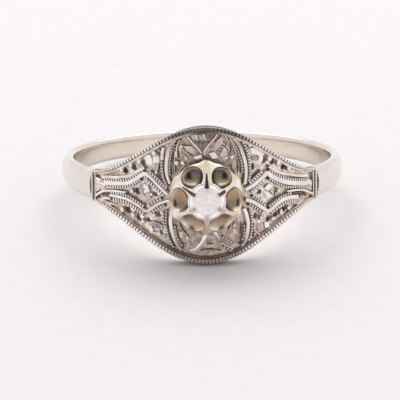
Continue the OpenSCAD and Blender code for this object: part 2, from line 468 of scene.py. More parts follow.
def gold(name, clean, clouded, tints_by_place=(), levels=(9.5, 9.15), back=8.6, smooth=0.12, rough=0.3, bump=0.05,
         patches=1.3, bowls=()):
    """Polished metal, clouded in patches. Each tint by place changes the colour in one kind of place: painted
    shade in recesses, round the crown and at the top of the head, painted reflections on the band's inner
    face and the upper claw flats, and a plain darkening near the edges of the head.

    The levels are where the depth starts and ends. Below the back level the metal is plain.
    """
    material, tree, shader = new_material(name, {"Metallic": 1.0})
    places = new_node(tree, "ShaderNodeGroup",
                      {"High level": levels[0], "Low level": levels[1], "Back level": back}, node_tree=PLACES)
    polish = new_node(tree, "ShaderNodeGroup",
                      {"Clean": (*clean, 1), "Clouded": (*clouded, 1), "Smooth": smooth, "Rough": rough,
                       "Patches per mm": patches}, node_tree=POLISH)
    link(tree, places.outputs["Ring place"], polish.inputs["Place"])
    colour = polish.outputs["Colour"]
    for where, tint in tints_by_place:
        colour = tinted(tree, colour, places.outputs[where], tint).outputs["Result"]
    colour = tinted(tree, colour, places.outputs["On the back"], INSIDE_COLOUR, "MIX").outputs["Result"]
    # The bowls are painted in tones that change with height: painted reflections and painted shade, darkest
    # at the top.
    if bowls:
        tones = new_node(tree, "ShaderNodeValToRGB")
        while len(tones.color_ramp.elements) < len(bowls):
            tones.color_ramp.elements.new(0.5)
        for tone, (height, tint) in zip(tones.color_ramp.elements, bowls):
            tone.position = (height + TONES_TO) / (2 * TONES_TO)
            tone.color = (*tint, 1)
        painted_bowl_tones = tinted(tree, colour, places.outputs["In a bowl"])
        link(tree, ramp(tree, places.outputs["Height"], -TONES_TO, TONES_TO), tones.inputs["Fac"])
        link(tree, tones.outputs["Color"], painted_bowl_tones.inputs["B"])
        colour = painted_bowl_tones.outputs["Result"]
    link(tree, colour, shader.inputs["Base Color"])
    link(tree, polish.outputs["Roughness"], shader.inputs["Roughness"])
    relief = new_node(tree, "ShaderNodeBump", {"Strength": bump, "Distance": 0.00001})
    link(tree, polish.outputs["Height"], relief.inputs["Height"])
    link(tree, relief.outputs["Normal"], shader.inputs["Normal"])
    return material


# The band's inner face is painted a warmer tint: a painted warm reflection of the gold round it.
band_metal = gold("Polished band", (0.85, 0.81, 0.775), (0.82, 0.77, 0.725), [("Depth", (1.0, 0.94, 0.86))],
                  levels=(8.58, 8.5), back=0, rough=0.22)
# The plate is painted near black in its deep parts, such as the walls of its holes, and darker round the
# crown: painted shade.
plate_metal = gold("Pierced plate", (1.0, 0.91, 0.81), (0.60, 0.49, 0.41),
                   [("Depth", (0.08, 0.07, 0.065)), ("Near the crown", (0.66, 0.61, 0.59))],
                   levels=(9.13, 9.0), smooth=0.22, rough=0.42, bump=0.8, patches=3.2)
# The border is painted darker round the crown, and its milgrain darker round the crown and darker still at
# the top of the head: painted shade.
border_metal = gold("Border", (0.86, 0.76, 0.68), (0.66, 0.55, 0.48),
                    [("Near the crown", (0.84, 0.81, 0.79))], smooth=0.2, rough=0.36, bump=0.2, patches=2)
border_milgrain_metal = gold("Border milgrain", (0.98, 0.94, 0.90), (0.86, 0.80, 0.74),
                             [("Near the crown", (0.44, 0.415, 0.40)),
                              ("Top of the head", (0.55, 0.54, 0.53))],
                             smooth=0.3, rough=0.45)
# The channels under the rows of milgrain and cuts are strips painted dark brown: painted shade in the
# grooves.
dark_metal = gold("Dark channel", (0.26, 0.21, 0.185), (0.42, 0.345, 0.30), smooth=0.4, rough=0.6)
# The sickle-shaped hollows are painted dark brown: painted shade.
hollow_metal = gold("Hollows", (0.26, 0.195, 0.16), (0.18, 0.135, 0.11), smooth=0.2, rough=0.4)
# The ribbons are painted darker towards their feet, a painted shade, and are also darker near the edges of
# the head.
ribbon_metal = gold("Polished ribbons", (0.98, 0.95, 0.95), (0.87, 0.81, 0.79),
                    [("Depth", (0.45, 0.39, 0.34)), ("Near the edge", (0.62, 0.56, 0.53))],
                    levels=(9.43, 9.25), smooth=0.14, rough=0.26)
# The plain strips and seam bars are painted darker towards their feet: painted shade.
cream_metal = gold("Plain strips", (1.0, 0.95, 0.88), (0.84, 0.77, 0.69), [("Depth", (0.42, 0.35, 0.30))],
                   levels=(9.4, 9.2), smooth=0.14, rough=0.28)
# One metal in four tones, painted for the light each flat reflects: painted highlights in the bright and pale
# tones, painted darker reflections in the warm and slate tones.
cut_metals = {
    "bright": gold("Bright cuts", (1.0, 0.98, 0.97), (0.90, 0.86, 0.85), smooth=0.08, rough=0.2),
    "warm": gold("Warm cuts", (0.74, 0.61, 0.53), (0.55, 0.44, 0.38), smooth=0.1, rough=0.25),
    "pale": gold("Pale cuts", (0.95, 0.87, 0.79), (0.60, 0.50, 0.42), smooth=0.2, rough=0.4, bump=0.6,
                 patches=4),
    "slate": gold("Slate cuts", (0.42, 0.44, 0.48), (0.30, 0.30, 0.33), smooth=0.08, rough=0.2),
}
# The ribbon milgrain, the fine ridges and the grains are painted darker towards their feet, and the ribbon
# milgrain darker round the crown: painted shade.
ribbon_milgrain_metal = gold("Ribbon milgrain", (0.98, 0.94, 0.89), (0.86, 0.79, 0.72),
                             [("Depth", (0.16, 0.13, 0.11)), ("Near the crown", (0.82, 0.78, 0.75))],
                             levels=(9.44, 9.38), smooth=0.3, rough=0.45)
ridge_metal = gold("Fine ridges", (1.0, 0.96, 0.92), (0.84, 0.78, 0.72), [("Depth", (0.30, 0.25, 0.22))],
                   levels=(9.38, 9.26), smooth=0.2, rough=0.36)
grain_metal = gold("Grains", (0.99, 0.96, 0.92), (0.90, 0.85, 0.80), [("Depth", (0.35, 0.29, 0.25))],
                   levels=(9.32, 9.17), smooth=0.2, rough=0.35)
# The bowls between the claws are painted darker, in tones that change with the height above the crown's
# middle: painted reflections and painted shade, darkest at the top.
crown_metal = gold("Filed yellow gold", (1.0, 0.94, 0.83), (0.80, 0.68, 0.50),
                   smooth=0.18, rough=0.34, bump=0.3, patches=1.1,
                   bowls=((-2.2, (0.64, 0.55, 0.48)), (-1.3, (0.47, 0.385, 0.335)),
                          (-0.75, (0.30, 0.27, 0.23)), (-0.2, (0.32, 0.28, 0.24)),
                          (0.1, (0.48, 0.365, 0.285)), (0.6, (0.58, 0.465, 0.39)),
                          (0.95, (0.52, 0.46, 0.40)), (1.3, (0.21, 0.20, 0.195)),
                          (2.1, (0.06, 0.065, 0.07))))
bright_claw_metal = gold("Bright claws", (1.0, 0.96, 0.92), (0.86, 0.78, 0.72), smooth=0.15, rough=0.3)
# The flats on the claws are painted darker than the claws, and near black on the upper half: painted
# reflection.
claw_flat_reflection_metal = gold("Claw flats with painted reflection", (0.80, 0.70, 0.62), (0.62, 0.53, 0.46),
                       [("Upper half", (0.14, 0.13, 0.125))], smooth=0.2, rough=0.35)


def make_stone_material(name, roughness, painted_glow):
    """A cloudy white stone, which glows a little in its own cloudy colour: a painted glow that stands in for
    the light that comes back from inside it.
    """
    material, tree, shader = new_material(name, {"Roughness": roughness, "IOR": 1.9, "Coat Weight": 0.4,
                                                 "Emission Strength": painted_glow})
    place = new_node(tree, "ShaderNodeTexCoord")
    clouds = new_node(tree, "ShaderNodeTexNoise", {"Scale": 3200, "Detail": 3})
    milk = new_node(tree, "ShaderNodeValToRGB")
    milk.color_ramp.elements[0].position = 0.35
    milk.color_ramp.elements[0].color = (0.84, 0.77, 0.72, 1)
    milk.color_ramp.elements[1].position = 0.65
    milk.color_ramp.elements[1].color = (0.97, 0.93, 0.90, 1)
    link(tree, place.outputs["Object"], clouds.inputs["Vector"])
    link(tree, clouds.outputs["Fac"], milk.inputs["Fac"])
    link(tree, milk.outputs["Color"], shader.inputs["Base Color"])
    link(tree, milk.outputs["Color"], shader.inputs["Emission Color"])
    return material


# The stone glows a little and its girdle more: painted glow.
stone_material = make_stone_material("Milky diamond", 0.12, 0.14)
girdle_material = make_stone_material("Frosted girdle", 0.5, 0.42)


# The band

def band_half(y):
    """Half the breadth of the band, which grows evenly from the back to the seams."""
    reach = BAND_R + FINGER_R * math.cos(math.radians(SEAM_ANGLE))
    return BACK_HALF + (SEAM_HALF - BACK_HALF) * (BAND_R - y) / reach


def squared_off(share, power):
    """Moves a sine or cosine away from 0, so that a circle becomes a rounded square."""
    return math.copysign(abs(share) ** power, share)


def make_band():
    """A filled D section, spun round the finger from seam to seam and then tapered to the back."""
    start = math.radians(270 - SEAM_ANGLE)
    sweep = 2 * math.pi - 2 * math.radians(SEAM_ANGLE)
    squarer_across, squarer_up, narrower_outside = 0.35, 0.75, 0.10
    corner, corner_from = 0.12, 0.75
    bpy.ops.object.select_all(action="DESELECT")
    bpy.ops.mesh.primitive_circle_add(vertices=36, radius=1, fill_type="NGON",
                                      location=(0, 0, 0), rotation=(math.pi / 2, 0, 0))
    band = settle(newly_made("polished_band"))
    for vertex in band.data.vertices:
        turn = math.atan2(vertex.co.z, vertex.co.x)
        x = squared_off(math.cos(turn), squarer_across)
        z = squared_off(math.sin(turn), squarer_up) * (1 - narrower_outside * max(x, 0) ** 2)
        dome = BAND_R - BAND_DOME + math.sqrt(BAND_DOME ** 2 - (z * BACK_HALF) ** 2)
        inner = FINGER_R + corner * max(abs(z) - corner_from, 0) ** 2 * 4
        vertex.co = (inner + (dome - inner) * (x + 1) / 2, 0, z * BACK_HALF)
    band.data.transform(Matrix.Rotation(start, 4, "Z"))
    edit(band)
    bpy.ops.mesh.spin(steps=150, angle=sweep, center=(0, 0, 0), axis=(0, 0, 1))
    edit_done()
    for vertex in band.data.vertices:
        vertex.co.z *= band_half(vertex.co.y) / BACK_HALF
    clean_mesh(band)
    finish_piece(band, band_metal, "shank", smooth=50)


# The pierced head. Its places are on the flat sheet, in millimetres to the right of the middle and above it.

# Paths of the polished faces, the strips beside them and the fine ridges
POLISHED_FACES = {
    "upper left": [(-6.95, .4), (-6.6, .43), (-6.2, .46), (-5.8, .5), (-5.15, .61), (-4.6, .88),
                   (-4.2, 1.17), (-3.88, 1.32), (-3.6, 1.2), (-3.3, .93), (-3, .64), (-2.7, .36),
                   (-2.42, .1)],
    "upper right": [(7.45, .24), (6.9, .25), (6.4, .32), (5.8, .42), (5.3, .54), (4.7, .8), (4.25, 1.07),
                    (3.95, 1.27), (3.65, 1.08), (3.3, .82), (2.95, .57), (2.5, .34)],
    "lower left": [(-6.5, -.36), (-6.15, -.37), (-5.8, -.39), (-5.15, -.47), (-4.6, -.7), (-4.2, -.91),
                   (-3.85, -1.12), (-3.5, -.95), (-3.2, -.72), (-2.9, -.54), (-2.6, -.42), (-2.3, -.32)],
    "lower right": [(6.3, -.56), (6, -.54), (5.7, -.52), (5.2, -.58), (4.7, -.8), (4.3, -1.07),
                    (4, -1.22), (3.7, -1.02), (3.35, -.76), (3, -.53), (2.5, -.33)],
    "upper left hoop": [(-2.25, .8), (-2.42, 1.3), (-2.48, 1.7), (-2.47, 2.1), (-2.42, 2.5), (-2.33, 2.9),
                        (-2.17, 3.3), (-1.9, 3.65)],
    "upper right hoop": [(2.42, .7), (2.5, 1.1), (2.52, 1.5), (2.5, 1.9), (2.42, 2.3), (2.3, 2.7),
                         (2.15, 3.1), (1.95, 3.45), (1.7, 3.75)],
    "lower left hoop": [(-2.1, -.75), (-2.18, -1.2), (-2.24, -1.65), (-2.2, -2.1), (-2.1, -2.5),
                        (-1.97, -2.9), (-1.78, -3.25), (-1.55, -3.55)],
    "lower right hoop": [(2.4, -.9), (2.52, -1.2), (2.62, -1.6), (2.66, -1.9), (2.64, -2.3), (2.57, -2.7),
                         (2.45, -3.05), (2.2, -3.35)],
}
NARROW_STRIPS = [
    [(-7.3, -.72), (-6.95, -.62), (-6.5, -.6)],
    [(-7.8, -.55), (-7.45, -.33), (-7.07, -.17), (-6.53, -.08), (-5.96, -.03), (-5.3, -.04)],
    [(7.7, -.58), (7.39, -.44), (6.92, -.24), (6.58, -.16), (6.12, -.11), (5.5, -.1)],
]
PLAIN_STRIPS = [
    [(-7.2, .74), (-6.52, .84), (-5.96, .89), (-5.15, 1.05), (-4.7, 1.27), (-4.3, 1.54), (-3.95, 1.7)],
    [(7.15, .68), (6.42, .8), (5.83, .95), (5.27, 1.09), (4.9, 1.2), (4.5, 1.42), (4.1, 1.7)],
    [(-2.77, 2.3), (-2.76, 2.7), (-2.68, 3.1)],
]
FINE_RIDGES = [
    [(-1.22, 3.92), (-.88, 3.52), (-.55, 3.15), (-.28, 2.78)],
    [(-7.8, .3), (-7.3, .28), (-6.95, .2)], [(-7.8, .02), (-7.4, .1), (-7.0, .1)],
    [(-7.75, .55), (-7.4, .45)],
    [(.78, 4.02), (.42, 3.6), (.15, 3.25), (-.04, 2.98), (-.1, 2.72)],
    [(.95, -3.08), (1.2, -3.24), (1.45, -3.38), (1.68, -3.56)],
    [(-.62, 4.02), (-.55, 3.65)], [(-.17, 4.05), (.0, 3.65)], [(-1.97, 1.5), (-1.98, 2.2), (-1.9, 2.9)],
    [(-3.45, -1.83), (-3.1, -1.9), (-2.88, -1.98), (-2.84, -2.2)],
    [(-3.55, -2.55), (-3.2, -2.5), (-2.95, -2.42)],
    [(3.05, -2.38), (3.25, -2.55), (3.45, -2.72)], [(-3.35, 2.95), (-3.05, 2.98), (-2.86, 2.8)],
    [(-1.62, 3.62), (-1.82, 3.2), (-1.84, 2.5)], [(1.42, 3.9), (1.72, 3.3), (1.92, 2.6)],
    [(1.28, 3.3), (1.5, 2.9)],
    [(1.2, 3.9), (1.42, 3.5)], [(-1.3, 2.1), (-1.55, 1.75), (-1.75, 1.3)], [(1.6, 1.9), (1.85, 1.5)],
    [(-1.3, -2.5), (-1.55, -2.2), (-1.75, -1.75)], [(-1.05, -3.05), (-1.25, -3.3)],
    [(1.65, -1.75), (1.45, -2.3)],
    [(-.4, -3.7), (.0, -3.58), (.5, -3.6), (.95, -3.72)], [(-1.9, 3.72), (-1.2, 3.98), (-.6, 4.08)],
]
# Half the breadth of each of them
FACE_HALVES = {"lower left": 0.085, "upper right": 0.15, "lower right": 0.13, "upper left": 0.125}
HOOP_HALF = 0.115
NARROW_HALF = 0.08
PLAIN_HALF = 0.1
RIDGE_HALF = 0.05
# The two bright leaves below the crown: (path, half its breadth, share of that at the lower end)
LEAVES = [
    ([(.04, -2.35), (-.12, -2.75), (-.27, -3.05), (-.48, -3.32), (-.72, -3.52), (-1.02, -3.6)], 0.14, 0.35),
    ([(.4, -2.3), (.6, -2.52), (.84, -2.88)], 0.15, 0.3),
]
# Rows of fine cuts: (path, half the length of a cut)
CUT_ROWS = [
    ([(-7.05, .62), (-6.6, .66), (-6.2, .67), (-5.68, .7), (-5.16, .82), (-4.6, 1.1), (-4.25, 1.36),
      (-4, 1.51)], .12),
    ([(-3.62, 1.47), (-3.3, 1.22), (-3, .94), (-2.7, .64), (-2.48, .4)], .11),
    ([(-6.53, .24), (-6.2, .24), (-5.69, .28), (-5.16, .4), (-4.6, .67), (-4.2, .93)], .1),
    ([(-3.85, .98), (-3.5, .72), (-3.2, .45), (-2.9, .2), (-2.65, -.02)], .1),
    ([(7.3, .47), (6.9, .49), (6.4, .56), (5.8, .66), (5.27, .78), (4.8, 1.02), (4.4, 1.25),
      (4.1, 1.46)], .09),
    ([(3.62, 1.42), (3.3, 1.16), (3, .9), (2.75, .7)], .12),
    ([(7.5, .0), (7, .02), (6.4, .08), (5.8, .14), (5.3, .24), (4.8, .46), (4.4, .71), (4.1, .9)], .08),
    ([(3.75, .84), (3.4, .56), (3.1, .32), (2.85, .13)], .1),
    ([(-6.5, -.18), (-6.1, -.18), (-5.69, -.18), (-5.16, -.26), (-4.75, -.43), (-4.3, -.66),
      (-3.98, -.84)], .09),
    ([(-3.72, -.77), (-3.4, -.54), (-3.1, -.35), (-2.8, -.22)], .09),
    ([(-6.3, -.6), (-5.69, -.64), (-5.16, -.73), (-4.7, -.96), (-4.3, -1.18), (-4, -1.34)], .14),
    ([(-3.6, -1.25), (-3.2, -.98), (-2.9, -.78), (-2.6, -.66)], .1),
    ([(5.8, -.27), (5.5, -.28), (5.2, -.35), (4.7, -.55), (4.3, -.8), (4.08, -.93)], .08),
    ([(3.85, -.84), (3.5, -.54), (3.2, -.3), (2.95, -.13)], .09),
    ([(6.85, -.73), (6.6, -.66), (6.3, -.72), (5.84, -.75), (5.4, -.8), (5, -.95), (4.6, -1.17),
      (4.25, -1.4)], .1),
    ([(3.7, -1.35), (3.35, -1.06), (3, -.8), (2.7, -.64)], .09),
    ([(-2.42, .55), (-2.6, .9), (-2.73, 1.3), (-2.78, 1.8), (-2.78, 2.25)], .07),
    ([(-2.25, 1.3), (-2.29, 1.7), (-2.27, 2.1), (-2.2, 2.6), (-2.1, 3), (-1.93, 3.4)], .06),
    ([(2.72, .85), (2.8, 1.3), (2.78, 1.8), (2.72, 2.3), (2.62, 2.75), (2.5, 3.1), (2.33, 3.45)], .08),
    ([(2.29, 1.4), (2.28, 1.9), (2.19, 2.3), (2.06, 2.7), (1.9, 3.1), (1.7, 3.45), (1.48, 3.72)], .07),
    ([(-2.5, -.95), (-2.54, -1.4), (-2.55, -1.9), (-2.48, -2.3), (-2.38, -2.75), (-2.2, -3.15),
      (-2.02, -3.42)], .06),
    ([(-2.7, -1.1), (-2.72, -1.6), (-2.68, -2.1)], .06),
    ([(-2.0, -1.95), (-1.94, -2.3), (-1.84, -2.7), (-1.7, -3), (-1.5, -3.3)], .06),
    ([(2.75, -1), (2.87, -1.4), (2.93, -1.9), (2.92, -2.3), (2.85, -2.7), (2.68, -3.08)], .07),
    ([(2.4, -1.95), (2.42, -2.3), (2.37, -2.7), (2.24, -3)], .06),
    ([(1.2, 3.45), (.95, 3.12), (.68, 2.78)], .07),
    ([(-1.45, 3.05), (-1.15, 2.78), (-.9, 2.5)], .07),
    ([(1, -2.65), (1.4, -2.95), (1.8, -3.2)], .07),
    ([(1.05, -3.3), (1.4, -3.5), (1.6, -3.68)], .06),
]
# Raised grains and drilled holes: (right, up, half width, half height)
GRAINS = [
    (-5.62, 1.45, .14, .18), (-4.93, 1.82, .12, .18), (-4.33, 2.13, .13, .2), (-3.3, 2.7, .14, .16),
    (-3.16, 1.47, .09, .13), (-4.85, .1, .1, .16), (-3.48, 0, .07, .12), (-5.58, -1.2, .14, .18),
    (-4.76, -1.48, .09, .19), (-4.08, -1.8, .08, .17), (-3.3, -1.35, .08, .16), (-2.98, -2.58, .1, .1),
    (2.8, 3.2, .1, .12), (4.15, 2.22, .15, .2), (4.8, 1.88, .12, .2), (5.6, 1.42, .13, .17),
    (3.55, -1.62, .1, .13), (4.4, -1.77, .14, .13), (5, -1.4, .11, .2), (5.6, -1.2, .11, .15),
    (4.8, .05, .08, .15),
    (-1.82, 2.12, .12, .16), (1.62, 2.5, .14, .12), (1.78, -1.98, .07, .15), (-1.2, -2.75, .07, .14),
]
HOLES = [
    (-5.42, 1.34, .16, .17), (-4.76, 1.62, .18, .18), (-4.1, 1.98, .15, .22), (-2.99, 2.68, .13, .22),
    (-2.98, 1.25, .1, .2), (-4.57, .1, .16, .22), (-3.25, -.03, .15, .14), (-5.2, -1.22, .24, .2),
    (-4.42, -1.6, .25, .27), (-3.74, -1.74, .19, .14), (-3.03, -1.3, .13, .19), (2.63, 3.3, .08, .1),
    (3.85, 2.14, .15, .24), (4.45, 1.95, .18, .19), (5.3, 1.5, .16, .16), (3.06, 1.76, .1, .24),
    (3.24, -1.5, .12, .2), (4.13, -1.8, .1, .17), (4.68, -1.52, .16, .24), (5.3, -1.3, .17, .17),
    (3.5, .05, .17, .15), (4.62, -.1, .08, .18), (-1.55, 2.02, .13, .16), (1.4, 2.34, .15, .13),
    (-1.73, 2.7, .06, .3), (1.6, 3.05, .06, .32), (-.28, 3.98, .09, .1), (3.12, -2.1, .06, .17),
    (3.08, -2.68, .1, .17),
]
# Paths of the sickle-shaped hollows, and outlines of the slots in the hoops
HOLLOWS = [
    [(-7.45, -.52), (-7.05, -.36), (-6.7, -.3), (-6.25, -.27)],
    [(5.75, -.34), (6.2, -.34), (6.8, -.42), (7.35, -.66)],
]
SLOTS = [
    [(-2, 1.15), (-2.14, 1.7), (-2.14, 2.4), (-2.05, 3), (-2.03, 2.4), (-2.05, 1.7)],
    [(2.02, 1.25), (2.15, 1.8), (2.05, 2.25), (1.9, 2.35), (2, 1.8)],
    [(2.2, -1.6), (2.32, -2), (2.27, -2.6), (2.15, -2.6), (2.18, -2)],
]
# Flats cut with a graver: (corners, lean to the side and lean upwards in degrees, tone; the tones are painted
# highlights and painted darker reflections)
BRIGHT_CUTS = [
    ([(2.82, 3), (3.2, 2.97), (3.75, 2.66), (3.74, 2.4), (3.35, 2.5), (2.98, 2.62)], 0, -4, "bright"),
    ([(3.72, 2.42), (3.68, 2.08), (3.47, 2.06), (3.4, 2.46)], 6, -3, "bright"),
    ([(3.02, 2.45), (3.32, 2.4), (3.3, 2.12), (3.02, 2.15)], -12, 12, "warm"),
    ([(-3.84, 2.52), (-3.58, 2.58), (-3.44, 2.25), (-3.48, 1.9), (-3.7, 1.9), (-3.78, 2.2)], 0, -3, "bright"),
    ([(-3.4, 2.42), (-3.02, 2.45), (-2.98, 2.1), (-3.38, 2.02)], 4, 5, "bright"),
    ([(-3.36, 1.95), (-3.0, 1.98), (-3.0, 1.58), (-3.3, 1.62)], -14, 14, "warm"),
    ([(-3.55, -1.93), (-3.2, -1.96), (-2.94, -2.06), (-2.98, -2.26), (-3.4, -2.18)], 5, 24, "slate"),
    ([(-3.74, -2.05), (-3.52, -2.12), (-3.4, -2.42), (-3.62, -2.5)], -3, -2, "bright"),
    ([(-3.05, -2.68), (-2.66, -2.62), (-2.62, -2.84), (-2.95, -2.92)], 10, 3, "warm"),
    ([(3.3, -2.02), (3.72, -2), (3.76, -2.42), (3.4, -2.5)], -9, 6, "warm"),
    ([(3.8, -1.98), (4.14, -1.98), (4.16, -2.3), (3.84, -2.34)], 6, 2, "bright"),
    ([(3.32, -1.72), (3.5, -1.76), (3.56, -1.95), (3.34, -1.96)], 2, -6, "bright"),
    ([(-4.36, .5), (-4.1, .6), (-3.9, .38), (-4.12, .05), (-4.36, .22)], 6, 20, "slate"),
    ([(-4.06, .62), (-3.74, .5), (-3.62, .2), (-4.02, .02)], -4, 3, "bright"),
    ([(-4.38, -.05), (-4.06, -.02), (-3.78, -.36), (-4.05, -.5), (-4.34, -.36)], 8, -8, "warm"),
    ([(-3.98, -.02), (-3.62, .12), (-3.56, -.26), (-3.76, -.34)], -5, 3, "warm"),
    ([(3.82, .3), (4.12, .56), (4.42, .36), (4.1, .08)], 0, -3, "bright"),
    ([(3.8, .06), (4.08, .04), (4.4, -.3), (4.08, -.42)], -5, 2, "bright"),
    ([(4.16, .06), (4.46, .32), (4.5, -.1), (4.4, -.2)], 9, 7, "warm"),
    ([(-1.42, 3.26), (-.96, 3.24), (-.66, 2.94), (-.86, 2.74), (-1.2, 2.94)], 8, -9, "warm"),
    ([(.98, 3.84), (1.1, 3.46), (.6, 2.8), (.36, 2.86), (.62, 3.46)], -8, -8, "warm"),
    ([(-.78, 2.54), (-.32, 2.68), (-.2, 2.4), (-.5, 2.26)], 0, -2, "bright"),
    ([(-.9, 3.98), (-.68, 4.02), (-.62, 3.74), (-.78, 3.6)], -4, 6, "bright"),
    ([(.2, 2.78), (.56, 2.84), (.74, 2.46), (.4, 2.38)], 0, -2, "bright"),
    ([(.08, 4.0), (.5, 4.0), (.34, 3.72), (.14, 3.6)], 4, 8, "bright"),
    ([(-.78, 3.5), (.3, 3.5), (.06, 3.22), (-.12, 2.9), (-.2, 2.8), (-.28, 2.88), (-.5, 3.18)],
     0, 13, "pale"),
    ([(1.14, 3.1), (1.24, 3.14), (1.38, 2.86), (1.3, 2.6), (1.05, 2.38), (.9, 2.52), (.92, 2.78)],
     4, 12, "pale"),
    ([(-1.66, 3.2), (-1.52, 3.3), (-1.42, 3.18), (-1.56, 2.95), (-1.68, 2.9)], -3, -2, "pale"),
    ([(-1.36, 2.62), (-1.2, 2.5), (-1.1, 2.3), (-1.3, 2.36)], -5, 12, "pale"),
    ([(.05, -3.2), (.45, -3.18), (.5, -3.36), (.1, -3.42)], 0, -5, "warm"),
    ([(-1.75, -2.35), (-1.5, -2.4), (-1.45, -2.75), (-1.66, -2.8)], 5, 2, "warm"),
    ([(1.7, -2.2), (1.95, -2.25), (1.9, -2.55), (1.72, -2.5)], -5, 0, "warm"),
    ([(-7.84, .66), (-7.3, .56), (-6.9, .3), (-6.6, .1), (-6.9, .02), (-7.5, -.1), (-7.84, -.34)],
     3, -3, "pale"),
    ([(7.7, .2), (7.45, .1), (7, 0), (7.35, -.2), (7.7, -.4)], -3, -3, "pale"),
    ([(-7.8, -.86), (-7.3, -.96), (-6.5, -1.02), (-6.1, -.92), (-6.9, -.8), (-7.5, -.66)], 0, -8, "pale"),
    ([(7.78, -.86), (7.3, -.98), (6.5, -1.08), (6.1, -1), (6.8, -1), (7.4, -.86)], 0, -8, "bright"),
]
# The border's milgrain, above and below: (side, pitch of the teeth, half the length of a tooth)
BORDER_TEETH = ((1, 0.24, 0.1), (-1, 0.225, 0.155))
# The two seams differ a little: (side, teeth at, pitch of the teeth, bar at, channel from)
SEAMS = ((-1, 8.14, 0.15, 7.9, 7.74), (1, 8.05, 0.19, 7.84, 7.88))


def oval(x, h, wide, tall, count=14):
    turns = [2 * math.pi * i / count for i in range(count)]
    return [Vector((x + wide * math.cos(t), h + tall * math.sin(t))) for t in turns]


def make_plate():
    """The plate is sawn to its outline and pierced while flat, then bent."""
    inset, rounding, pitch = 0.02, 0.015, 0.2
    half_thick = (PLATE_R - PLATE_IN) / 2
    sides = angles_between(-HEAD_ANGLE, HEAD_ANGLE, 80)
    edge = [flat(a, outline(a) - inset) for a in sides]
    edge += [flat(a, inset - outline(a)) for a in reversed(sides)]
    wider, taller = 1.25, 1.15
    drilled = [oval(x, h, wider * wide, taller * tall) for x, h, wide, tall in HOLES]
    collar_hole = oval(0, 0, COLLAR_R + inset, COLLAR_R + inset, 48)
    plate = stand_up(sawn("pierced_plate", [edge] + drilled + SLOTS + [collar_hole], half_thick, rounding))
    plate.data.transform(Matrix.Translation((0, half_thick, 0)))
    clean_mesh(plate)
    cut_across(plate, pitch)
    bend_round_finger(plate)
    finish_piece(plate, plate_metal, "pierced_head", smooth=30)


def edge_line(up, angles):
    """The upper or lower edge of the head on the flat sheet."""
    return [flat(a, up * (outline(a) - 0.005)) for a in angles]


def fading(x):
    """The border sinks and narrows over its last stretch before each seam."""
    return 0.45 + 0.55 * min(1, (SEAM_X - abs(x)) / FADE_LENGTH)


def make_border():
    """Raised border on both edges, with a sunk channel outside it for the milgrain."""
    foot = PLATE_IN + 0.02
    sides = angles_between(-HEAD_ANGLE, HEAD_ANGLE, 110)
    rims, channels = [], []
    for up, inset in ((1, 0.21), (-1, 0.32)):
        rim = [(inset, foot), (inset, 9.36), (inset + 0.03, 9.41), (0.38, 9.44), (0.41, 9.42), (0.43, 9.36),
               (0.43, PLATE_R - 0.1), (0.38, foot)]
        channel = [(0.01, foot), (0.01, 9.3), (inset + 0.01, 9.32), (inset + 0.01, foot)]
        for group, section in ((rims, rim), (channels, channel)):
            group.append(wire("edging", edge_line(up, sides), [(off * up, level) for off, level in section],
                              swell=lambda t: fading((2 * t - 1) * SEAM_X)))
    put_on_head(rims, "raised_border", border_metal, smooth=40)
    # The milgrain channel is painted dark: painted shade.
    put_on_head(channels, "milgrain_channel", dark_metal, smooth=40)


def milgrain_tooth():
    """A small tooth with its top edges rounded over and its foot left open."""
    bpy.ops.object.select_all(action="DESELECT")
    bpy.ops.mesh.primitive_cube_add(size=2)
    tooth = newly_made("milgrain tooth")
    edit(tooth)
    bpy.ops.mesh.select_mode(type="EDGE")
    bpy.ops.mesh.select_all(action="DESELECT")
    edit_done()
    for edge in tooth.data.edges:
        edge.select = all(tooth.data.vertices[v].co.z > 0 for v in edge.vertices)
    bpy.ops.object.mode_set(mode="EDIT")
    bpy.ops.mesh.bevel(offset=0.35, segments=2)
    bpy.ops.mesh.select_all(action="SELECT")
    bpy.ops.mesh.bisect(plane_co=(0, 0, -0.9), plane_no=(0, 0, 1), clear_inner=True, use_fill=False)
    bpy.ops.mesh.select_mode(type="VERT")
    edit_done()
    return tooth


def row_of_teeth(tooth, line, pitch, size, slant=0.0):
    """Teeth along a path, each turned to it and then slanted."""
    return [copy_of(tooth, on_sheet(place, TOOTH_TOP - size[2], heading + slant, size))
            for place, heading in paced(line, pitch)]


def make_border_milgrain(tooth):
    """Teeth along both edges. Those near the middle of the upper edge are worn low and broad."""
    teeth = []
    top = 9.4
    worn_at, worn_over = -0.6, 1.4
    last_angle = HEAD_ANGLE - 0.2
    angles = angles_between(-last_angle, last_angle, 200)
    for up, pitch, half in BORDER_TEETH:
        for place, heading in paced(edge_line(up, angles), pitch):
            share = fading(place.x)
            inwards = Vector((math.sin(heading), -math.cos(heading))) * up * half * share
            worn = math.exp(-((place.x - worn_at) / worn_over) ** 2) if up > 0 else 0
            level = PLATE_R + (top - PLATE_R) * share
            size = (0.08 + 0.035 * worn, half * share, (0.1 - 0.04 * worn) * share)
            teeth.append(copy_of(tooth, on_sheet(place + inwards, level, heading, size)))
    put_on_head(teeth, "border_milgrain", border_milgrain_metal, smooth=40, clean=False)


def ribbon_section(half, top):
    """A face with rounded shoulders, on sides that spread a little towards the foot."""
    right = [(half - 0.03, top - 0.01), (half, top - 0.04), (half + 0.01, top - 0.09),
             (half + 0.02, ORNAMENT_FOOT)]
    return [(-across, level) for across, level in reversed(right)] + [(0, top)] + right


def square_section(half, foot, top):
    """The section of a plain bar."""
    return [(-half, foot), (-half, top), (half, top), (half, foot)]


def ribbons(paths, half, top):
    return [wire("ribbon", sheet_path(places), ribbon_section(half, top)) for places in paths]


